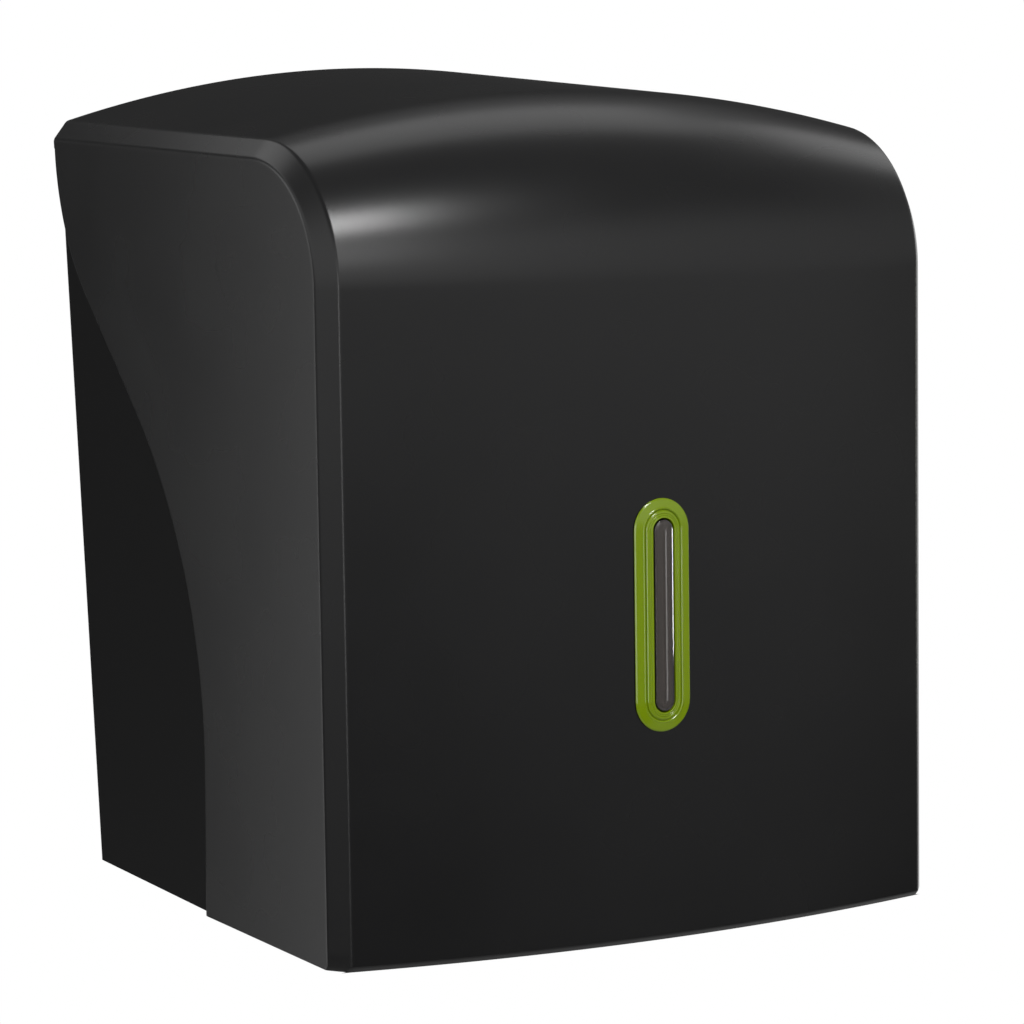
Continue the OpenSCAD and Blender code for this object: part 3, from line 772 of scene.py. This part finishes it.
@dataclass(frozen=True)
class Window:
    """Level window: a green bezel with a sloped flange, and a clear crested lens in it.

    Heights are measured from the front's face. The points of side are (in from the outer edge, height), and
    those of lip are (out from the step, height over flange_rise): the lip, the groove and the ring's foot.
    """

    outer_r: float = 11.0
    seat: float = 0.1
    side: tuple[Point, ...] = ((0.0, 0.42), (0.5, 0.8))
    flange_rise: float = 1.4
    step_r: float = 7.0
    lip: tuple[Point, ...] = ((0.95, -0.06), (0.6, 0.2), (0.2, -0.12), (0.06, -0.5), (-0.1, -0.5),
                              (-0.2, -0.02))
    shoulder: float = math.radians(37.0)
    shoulder_wide: float = 0.36
    lines: int = 2
    line_half: float = 0.09
    line_deep: float = 0.23
    rise: float = 2.15
    head_edge: Point = (0.2, 0.3)
    open_r: float = 4.2
    ledge: float = 0.24
    sleeve_r: float = 6.9
    sleeve_in: float = 5.7
    sleeve_low: float = -5.8
    soft: float = 0.2
    lens_gap: float = 0.04
    lens_peak: float = 2.78
    lens_crest: float = math.radians(21.5)
    crest_steps: tuple[float, ...] = (0.0, 0.06, 0.75, 0.85)
    lens_crown: float = 0.1
    crown_steps: tuple[float, ...] = (0.27, 0.4, 0.52, 0.64)
    lens_bevel: float = math.radians(24.5)
    bevel_from: float = 0.7
    bevel_to: float = 0.86
    bevel_steps: tuple[float, ...] = (0.0, 0.15, 0.85, 1.0)
    rim_from: float = 0.15
    lens_edge: float = 1.3
    lens_seat: float = 0.2
    lens_back: float = 0.5
    lens_wall: float = 1.4
    skirt_wall: float = 1.0
    sharp: float = 40.0

    def bezel(self, straight: float) -> bmesh.types.BMesh:
        """Returns the bezel round the slot: sloped flange, lip, groove, finely lined ring, and sleeve."""
        lip = [(self.step_r + out, self.flange_rise + up) for out, up in self.lip]
        wide = self.shoulder_wide
        shoulder = Vector(lip[-1]) + Vector((-wide, wide * math.tan(self.shoulder)))
        head = Vector((self.open_r + self.head_edge[0], self.rise))
        ring = []
        for i in range(1, self.lines + 1):
            u = i / (self.lines + 1)
            ring += [tuple(shoulder.lerp(head, u - self.line_half)),
                     tuple(shoulder.lerp(head, u) - Vector((0.0, self.line_deep))),
                     tuple(shoulder.lerp(head, u + self.line_half))]
        return slot_sweep(rounded([
            (self.outer_r, self.seat), *((self.outer_r - inward, high) for inward, high in self.side),
            *lip, tuple(shoulder), *ring, tuple(head),
            (self.open_r, self.rise - self.head_edge[1]), (self.open_r, self.ledge),
            (self.sleeve_in, self.ledge), (self.sleeve_in, self.sleeve_low),
            (self.sleeve_r, self.sleeve_low), (self.sleeve_r, self.seat),
        ], self.soft), straight)

    def lens(self, straight: float) -> bmesh.types.BMesh:
        """Returns the clear lens: a raised face with bevelled sides, and a skirt in the bezel's sleeve."""
        face_r = self.open_r - self.lens_gap
        skirt_r = self.sleeve_in - self.lens_gap
        skirt_in = skirt_r - self.skirt_wall
        # A crest along the middle, a gently crowned face, a flat bevel and a steeper edge at the bezel
        dome = [(x, self.lens_peak - math.tan(self.lens_crest) * x) for x in self.crest_steps]
        base = dome[-1][1]
        dome += [(face_r * u, base - self.lens_crown * u * u) for u in self.crown_steps]
        start = Vector((face_r * self.bevel_from, base - self.lens_crown))
        fall = math.tan(self.lens_bevel) * face_r * (self.bevel_to - self.bevel_from)
        end = Vector((face_r * self.bevel_to, start.y - fall))
        rim = end.lerp(Vector((face_r, self.lens_edge)), self.rim_from)
        dome += [tuple(start.lerp(end, u)) for u in self.bevel_steps]
        hollow, roof = face_r - self.lens_wall, self.lens_seat - self.lens_wall
        bm = slot_sweep(dome + [
            tuple(rim), (face_r, self.lens_edge), (face_r, self.lens_seat), (skirt_r, self.lens_seat),
            (skirt_r, self.sleeve_low), (skirt_in, self.sleeve_low), (skirt_in, roof), (hollow, roof),
            (hollow, self.lens_back), (0.0, self.lens_back),
        ], straight, False)
        # Painted shade: vertices past the flat bevel are marked to take the dark colour of the lens's edge
        painted_shade_layer = bm.verts.layers.float.new(PAINTED_SHADE_ATTRIBUTE)
        for v in bm.verts:
            away = math.hypot(v.co.x, max(abs(v.co.y) - straight * MM / 2, 0.0)) / MM
            v[painted_shade_layer] = float(away > (end.x + rim.x) / 2)
        return bm

    def build(self, window: Matrix, straight: float) -> None:
        """Builds and dresses the bezel and the lens at the window's place."""
        bezel = self.bezel(straight)
        bmesh.ops.transform(bezel, matrix=window, verts=bezel.verts)
        trim = Piece("window_bezel", ("window_trim",), Body.COVER, Slot.TRIM, LIME_GREEN)
        smooth(trim.add(bezel), self.sharp)
        lens = self.lens(straight)
        bmesh.ops.transform(lens, matrix=window, verts=lens.verts)
        glazing = Piece("window_glazing", ("window_lens",), Body.COVER, Slot.LENS, CLEAR_LENS)
        smooth(glazing.add(lens), self.sharp)


@dataclass(frozen=True)
class Dressed:
    """A piece whose solid already has its shape: a merged copy with softened edges and a finish."""

    piece: Piece
    edge: float
    edge_steps: int = 2
    sharp: float = 30.0
    flat: float = 0.3

    def build(self) -> None:
        """Builds the copy and dresses it."""
        bm = bmesh.new()
        bm.from_mesh(frame["nodes"][self.piece.nodes[0]].data)
        bmesh.ops.remove_doubles(bm, verts=bm.verts, dist=1e-6)
        bmesh.ops.dissolve_limit(bm, angle_limit=math.radians(self.flat), verts=bm.verts, edges=bm.edges)
        obj = self.piece.add(bm)
        soften = obj.modifiers.new("soft_edges", "BEVEL")
        soften.width = self.edge * MM
        soften.segments = self.edge_steps
        soften.limit_method = "ANGLE"
        soften.angle_limit = math.radians(self.sharp)
        soften.use_clamp_overlap = True
        smooth(obj, self.sharp)


DRESSED = (
    Dressed(Piece("housing_moulding", ("rear_housing",), Body.HOUSING, Slot.HOUSING, MATT_BLACK), 0.5),
    Dressed(Piece("pin_left", ("hinge_pin_left",), Body.HOUSING, Slot.STEEL, PIN_STEEL), 0.3),
    Dressed(Piece("pin_right", ("hinge_pin_right",), Body.HOUSING, Slot.STEEL, PIN_STEEL), 0.3),
    Dressed(Piece("retainer_frame", ("window_retainer",), Body.COVER, Slot.HOUSING, MATT_BLACK), 0.3),
    Dressed(Piece("lock_sleeve", ("lock_body",), Body.COVER, Slot.LOCK, PLATED_ZINC), 0.25),
    Dressed(Piece("lock_spring_washer", ("lock_washer",), Body.COVER, Slot.STEEL, PIN_STEEL), 0.12),
    Dressed(Piece("lock_hex_nut", ("lock_nut",), Body.COVER, Slot.STEEL, PIN_STEEL), 0.3),
    Dressed(Piece("lock_rotor", ("lock_barrel",), Body.LOCK, Slot.LOCK, PLATED_ZINC), 0.2),
    Dressed(Piece("lock_tongue", ("lock_cam",), Body.LOCK, Slot.STEEL, PIN_STEEL), 0.3),
    Dressed(Piece("tongue_screw", ("cam_screw",), Body.LOCK, Slot.STEEL, PIN_STEEL), 0.3),
    Dressed(Piece("outlet_nozzle", ("nozzle_insert",), Body.NOZZLE, Slot.HOUSING, MATT_BLACK), 0.3),
)


# Point that the camera and the softboxes look at, in metres
AIM = (0.008887, -0.1, 0.133613)


def direction(azimuth: float, elevation: float) -> Vector:
    """Returns a unit vector. Azimuth 0 points to the front and grows to the right, in degrees."""
    a, e = math.radians(azimuth), math.radians(elevation)
    return Vector((math.sin(a) * math.cos(e), -math.cos(a) * math.cos(e), math.sin(e)))


@dataclass(frozen=True)
class Lamp:
    """A softbox. Its place, the direction it shines away from and its sizes are in metres."""

    name: str
    place: tuple[float, float, float]
    back: tuple[float, float, float]
    wide: float
    high: float
    radiance: float
    colour: Colour = (1.0, 1.0, 1.0)

    def build(self) -> None:
        """Hangs the lamp."""
        light = bpy.data.lights.new(self.name, "AREA")
        light.shape = "RECTANGLE"
        light.size, light.size_y = self.wide, self.high
        light.energy = self.radiance * math.pi * self.wide * self.high
        light.color = self.colour
        obj = bpy.data.objects.new(self.name, light)
        bpy.context.scene.collection.objects.link(obj)
        obj.location = self.place
        obj.rotation_euler = Vector(self.back).to_track_quat("Z", "Y").to_euler()
        obj.visible_camera = False


def aimed(name: str, azimuth: float, elevation: float, distance: float, wide: float, high: float,
          radiance: float, colour: Colour = (1.0, 1.0, 1.0)) -> Lamp:
    """Makes a softbox that points at the middle of the object.

    Args:
        name: the lamp's name.
        azimuth: where it hangs, in degrees from the front to the right.
        elevation: how high it hangs, in degrees.
        distance: how far away it hangs, in metres.
        wide: its width in metres.
        high: its height in metres.
        radiance: how bright its face is.
        colour: the colour of its light.

    Returns:
        The lamp.
    """
    away = direction(azimuth, elevation)
    return Lamp(name, tuple(Vector(AIM) + away * distance), tuple(away), wide, high, radiance, colour)


def ramp(tree: Tree, value: bpy.types.NodeSocket, stops: tuple[Point, ...]) -> bpy.types.NodeSocket:
    """Adds a grey ramp.

    Args:
        tree: where it is added.
        value: what runs along the ramp, from 0 to 1.
        stops: positions and levels.

    Returns:
        The level's socket.
    """
    node = tree.add("ValToRGB")
    points = node.color_ramp.elements
    points[0].position, points[1].position = stops[0][0], stops[-1][0]
    for position, _ in stops[1:-1]:
        points.new(position)
    for point, (_, level) in zip(points, stops):
        point.color = (level, level, level, 1.0)
    tree.link(value, node.inputs["Fac"])
    return node.outputs["Color"]


def around(tree: Tree, place: bpy.types.NodeSocket) -> bpy.types.NodeSocket:
    """Returns the azimuth of a place or direction as a share of the turn, 0.5 to the front."""
    parts = tree.add("SeparateXYZ")
    tree.link(place, parts.inputs["Vector"])
    angle = tree.math("ARCTAN2", parts.outputs["X"], tree.math("MULTIPLY", parts.outputs["Y"], -1.0))
    return tree.math("ADD", tree.math("DIVIDE", angle, 2 * math.pi), 0.5)


def bearings(levels: dict[float, float]) -> tuple[Point, ...]:
    """Turns levels by azimuth in degrees into the stops of a ramp."""
    return tuple((azimuth / 360 + 0.5, level) for azimuth, level in sorted(levels.items()))


# Brightness by azimuth: of the backdrop's foot and upper edge, and of the surroundings near the horizon.
# The backdrop is white behind the object, at the azimuth of 150.
WALL_LOW = {-180: 0.07, -155: 0.05, -120: 0.04, -90: 0.12, -75: 0.16, -40: 0.05, 0: 0.0, 8: 0.01, 14: 0.06,
            20: 0.1, 45: 0.1, 52: 0.03, 58: 0.0, 88: 0.0, 100: 0.4, 120: 0.4, 125: 1.0, 174: 1.0, 179: 0.08,
            180: 0.07}
WALL_HIGH = {-180: 0.08, -155: 0.06, -120: 0.06, -90: 0.8, -75: 1.0, -40: 0.6, 0: 0.4, 8: 0.45, 16: 0.62,
             40: 0.7, 50: 0.63, 56: 0.4, 62: 0.15, 86: 0.15, 100: 0.9, 126: 0.7, 133: 1.0, 167: 1.0,
             174: 0.1, 180: 0.08}
SKY_LOW = {-180: 0.08, -164: 0.05, -140: 0.2, -118: 0.8, -100: 1.0, -75: 1.0, -30: 1.0, 0: 1.0, 12: 0.95,
           20: 0.8, 40: 0.65, 50: 0.6, 60: 0.42, 100: 0.4, 130: 0.08, 150: 0.04, 168: 0.04, 180: 0.08}
SKY_HIGH = (0.22, 0.22, 0.22)


@dataclass(frozen=True)
class Studio:
    """Floor, backdrop, lamps, surrounding light and camera. Its sizes are in metres."""

    floor_z: float = -0.5
    floor_r: float = 1.45
    wall_r: float = 3.0
    wall_z: float = 0.33
    round_steps: int = 96
    cove_steps: int = 24
    sky_from: float = math.radians(22)
    sky_to: float = math.radians(40)
    camera_azimuth: float = -29.854
    camera_elevation: float = 7.471
    camera_distance: float = 1.46931
    lens: float = 139.59
    sensor: float = 36.0
    pale: Colour = (0.62, 0.62, 0.62)
    pale_roughness: float = 0.9
    lamps: tuple[Lamp, ...] = (
        aimed("front_softbox", -5.0, 47.5, 1.5, 0.4, 0.32, 20.0),
        aimed("front_glow", -6.0, 27.0, 1.5, 0.55, 0.4, 2.0),
        aimed("right_softbox", 106.5, 36.0, 1.8, 0.62, 0.72, 1.15),
        Lamp("overhead_panel", (0.55, 0.55, 1.68), (0, 0, 1), 1.3, 0.9, 0.92),
        aimed("right_strip", 76.5, -4.6, 1.6, 0.06, 0.25, 14.0, (1.0, 0.98, 0.88)),
        aimed("low_strip", 70.4, -8.0, 1.6, 0.07, 0.4, 2.0),
        aimed("left_strip", -40.0, 0.0, 1.7, 0.24, 0.6, 3.5),
        Lamp("left_panel", (-0.62, 0.4, 0.05), (-1, 0, 0), 0.3, 0.8, 1.4),
        Lamp("upper_panel", (-0.33, 0.18, 0.52), (0, 0, 1), 0.24, 0.32, 1.05),
    )

    def camera(self) -> None:
        """Places the camera at the photograph's viewing angle."""
        data = bpy.data.cameras.new("camera")
        data.lens = self.lens
        data.sensor_width = self.sensor
        away = direction(self.camera_azimuth, self.camera_elevation)
        obj = bpy.data.objects.new("camera", data)
        bpy.context.scene.collection.objects.link(obj)
        obj.location = Vector(AIM) + away * self.camera_distance
        obj.rotation_euler = away.to_track_quat("Z", "Y").to_euler()
        bpy.context.scene.camera = obj

    def floor(self) -> None:
        """Lays the pale floor."""
        bm = bmesh.new()
        bmesh.ops.create_circle(bm, cap_ends=True, segments=self.round_steps, radius=self.floor_r)
        bmesh.ops.translate(bm, verts=bm.verts, vec=(0, 0, self.floor_z))
        self.set_up("floor", bm, self.pale_material("pale_floor")[0])

    def pale_material(self, name: str) -> tuple[bpy.types.Material, Tree, bpy.types.Node]:
        """Returns a pale matt material with its node tree and its shader."""
        material, tree, shader = new_material(name)
        shader.inputs["Base Color"].default_value = (*self.pale, 1.0)
        shader.inputs["Roughness"].default_value = self.pale_roughness
        shader.inputs["Specular IOR Level"].default_value = 0.0
        return material, tree, shader

    def backdrop(self) -> None:
        """Raises the coved backdrop round the floor, white behind the object and pale elsewhere."""
        bm = bmesh.new()
        points = []
        for i in range(self.cove_steps + 1):
            a = math.pi / 2 * i / self.cove_steps
            points.append(Vector((self.floor_r + (self.wall_r - self.floor_r) * math.sin(a), 0,
                                  self.floor_z + (self.wall_z - self.floor_z) * (1 - math.cos(a)))))
        edges = chain(bm, points)
        verts = list(dict.fromkeys(v for e in edges for v in e.verts))
        bmesh.ops.spin(bm, geom=verts + edges, cent=(0, 0, 0), axis=(0, 0, 1), angle=2 * math.pi,
                       steps=self.round_steps, dvec=(0, 0, 0), use_merge=True)
        self.set_up("backdrop", bm, self.backdrop_material())

    def backdrop_material(self) -> bpy.types.Material:
        """Returns the backdrop's material: it shows its own brightness and lights nothing."""
        material, tree, shader = self.pale_material("pale_backdrop")
        place = tree.add("TexCoord").outputs["Object"]
        parts = tree.add("SeparateXYZ")
        tree.link(place, parts.inputs["Vector"])
        climb = tree.add("MapRange", {"From Min": self.floor_z, "From Max": self.wall_z})
        tree.link(parts.outputs["Z"], climb.inputs["Value"])
        turn = around(tree, place)
        foot, head = (ramp(tree, turn, bearings(levels)) for levels in (WALL_LOW, WALL_HIGH))
        glow = tree.add("Emission")
        tree.link(tree.mix(climb.outputs["Result"], foot, head), glow.inputs["Color"])
        path = tree.add("LightPath")
        seen = tree.math("ADD", path.outputs["Is Camera Ray"], path.outputs["Is Glossy Ray"], clamp=True)
        seen = tree.math("ADD", seen, path.outputs["Is Transmission Ray"], clamp=True)
        choose = tree.add("MixShader")
        tree.link(seen, choose.inputs["Fac"])
        tree.link(shader.outputs["BSDF"], choose.inputs[1])
        tree.link(glow.outputs["Emission"], choose.inputs[2])
        tree.link(choose.outputs["Shader"], material.node_tree.nodes["Material Output"].inputs["Surface"])
        return material

    def set_up(self, name: str, bm: bmesh.types.BMesh, material: bpy.types.Material) -> None:
        """Makes a stage object of a bmesh, which is freed."""
        mesh = bpy.data.meshes.new(name)
        bm.to_mesh(mesh)
        bm.free()
        mesh.materials.append(material)
        mesh.shade_smooth()
        obj = bpy.data.objects.new(name, mesh)
        bpy.context.scene.collection.objects.link(obj)

    def surroundings(self) -> None:
        """Sets the dim light all round, brighter from the front than from behind."""
        world = bpy.data.worlds.new("studio")
        world.use_nodes = True
        bpy.context.scene.world = world
        tree = Tree(world.node_tree)
        ground = world.node_tree.nodes["Background"]
        place = tree.add("TexCoord").outputs["Generated"]
        parts = tree.add("SeparateXYZ")
        tree.link(place, parts.inputs["Vector"])
        span = {"From Min": math.sin(self.sky_from), "From Max": math.sin(self.sky_to)}
        climb = tree.add("MapRange", span, interpolation_type="SMOOTHSTEP")
        tree.link(parts.outputs["Z"], climb.inputs["Value"])
        horizon = ramp(tree, around(tree, place), bearings(SKY_LOW))
        tree.link(tree.mix(climb.outputs["Result"], horizon, SKY_HIGH), ground.inputs["Color"])

    def build(self) -> None:
        """Sets up the whole studio."""
        scene = bpy.context.scene
        scene.view_settings.view_transform = "Standard"
        self.camera()
        self.floor()
        self.backdrop()
        self.surroundings()
        for lamp in self.lamps:
            lamp.build()
        LOG.info("studio: %d lamps", len(self.lamps))


def joint(name: str) -> dict:
    """Returns one of the frame's joints."""
    return next(j for j in frame["joints"] if j["name"] == name)


def window_place(form: CoverForm) -> tuple[Matrix, float]:
    """Works out where the window lies on the front.

    Args:
        form: the cover's form.

    Returns:
        The window's place, its Z pointing out of the front, and the length of its straight stretches in mm.
    """
    low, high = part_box("window_trim")
    level = round((low.z + high.z) / 2 / MM)
    wide = (high.x - low.x) / MM
    tall = (high.z - low.z) / MM
    tilt = math.pi / 2 - math.atan(form.lean)
    spot = Vector((0, -form.front(form.front_crown, level), level)) * MM
    return Matrix.Translation(spot) @ Matrix.Rotation(tilt, 4, "X"), tall - wide


def lock_place() -> Matrix:
    """Returns the lock's place, its Z pointing out of the right side wall."""
    turn = joint("lock_turn")
    out = -Vector(turn["axis"])
    return Matrix.Translation(Vector(turn["pos_m"])) @ out.to_track_quat("Z", "Y").to_matrix().to_4x4()


def main() -> None:
    """Builds every piece of the dispenser and the studio round it."""
    logging.basicConfig(level=logging.INFO, format="%(message)s")
    Studio().build()
    cover = Cover()
    window, straight = window_place(cover.form)
    cover.build(Vector(joint("cover_hinge")["pos_m"]), window, straight, lock_place())
    Window().build(window, straight)
    for dressed in DRESSED:
        dressed.build()


if __name__ == "__main__":
    main()
